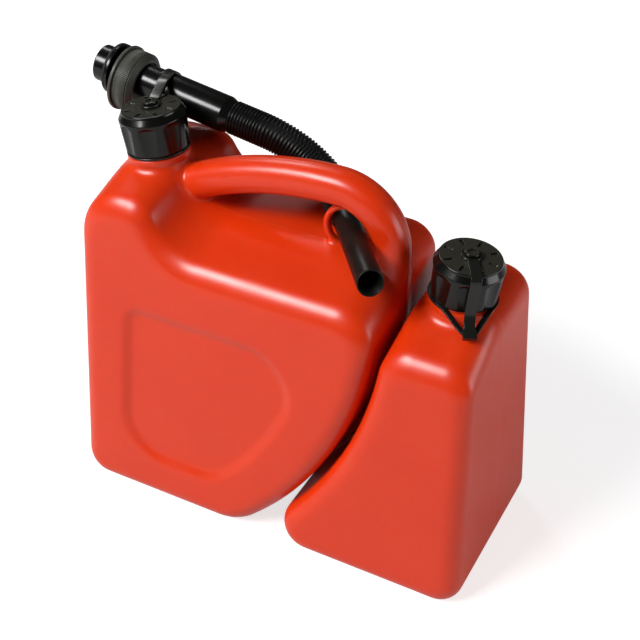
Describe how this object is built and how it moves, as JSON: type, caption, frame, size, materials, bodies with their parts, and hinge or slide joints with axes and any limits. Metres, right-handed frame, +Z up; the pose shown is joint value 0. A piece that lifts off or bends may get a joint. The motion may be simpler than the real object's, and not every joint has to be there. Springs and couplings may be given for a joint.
{
  "type": "twin-tank fuel can",
  "caption": "Red blow-moulded twin-tank fuel can with handle, two tethered screw caps and a flexible pouring spout stored through an eye.",
  "frame": {"origin": "on the floor under the petrol tank, in the mould's parting plane", "axes": "+X along the can from the petrol end to the oil end, +Y from front to back, +Z up"},
  "size_m": [0.3699, 0.1546, 0.3384],
  "materials": {
    "tank_red": "satin blow-moulded polyethylene",
    "cap_black": "matte moulded polypropylene",
    "spout_black": "glossy moulded polyethylene",
    "strap_black": "soft matte plastic strap",
    "seal_rubber": "matte nitrile rubber"
  },
  "bodies": {
    "can": {"petrol_tank": "tank_red", "oil_tank": "tank_red", "petrol_cap_tether": "strap_black", "oil_cap_tether": "strap_black", "spout_inlet": "spout_black", "spout_gasket": "seal_rubber", "spout_tube": "spout_black", "spout_hose": "spout_black"},
    "petrol_seal": {"petrol_cap_seal": "seal_rubber"},
    "petrol_cap": {"petrol_cap": "cap_black"},
    "oil_seal": {"oil_cap_seal": "seal_rubber"},
    "oil_cap": {"oil_cap": "cap_black"},
    "collar": {"spout_collar": "cap_black"},
    "tip": {"spout_tip": "spout_black"}
  },
  "joints": [
    {"name": "petrol_cap_lift", "type": "slide", "parent": "can", "child": "petrol_seal", "axis": [-0.1219, 0, 0.9925], "range_m": [0, 0.015], "deforming": ["petrol_cap_tether"]},
    {"name": "petrol_cap_turn", "type": "hinge", "parent": "petrol_seal", "child": "petrol_cap", "pos_m": [-0.0305, 0, 0.282], "axis": [-0.1219, 0, 0.9925], "range_deg": [0, 1080]},
    {"name": "oil_cap_lift", "type": "slide", "parent": "can", "child": "oil_seal", "axis": [0.1045, 0, 0.9945], "range_m": [0, 0.015], "deforming": ["oil_cap_tether"]},
    {"name": "oil_cap_turn", "type": "hinge", "parent": "oil_seal", "child": "oil_cap", "pos_m": [0.218, 0, 0.229], "axis": [0.1045, 0, 0.9945], "range_deg": [0, 1080]},
    {"name": "collar_spin", "type": "hinge", "parent": "can", "child": "collar", "pos_m": [-0.04978, 0.042, 0.30618], "axis": [0.9863, 0, -0.165], "continuous": true},
    {"name": "tip_pull", "type": "slide", "parent": "can", "child": "tip", "axis": [-0.6289, 0.7767, 0.0349], "range_m": [0, 0.075], "deforming": ["spout_hose"]}
  ],
  "couplings": [
    {"joint": "petrol_cap_lift", "follows": "petrol_cap_turn", "m_per_rad": 0.00079577},
    {"joint": "oil_cap_lift", "follows": "oil_cap_turn", "m_per_rad": 0.00079577}
  ]
}
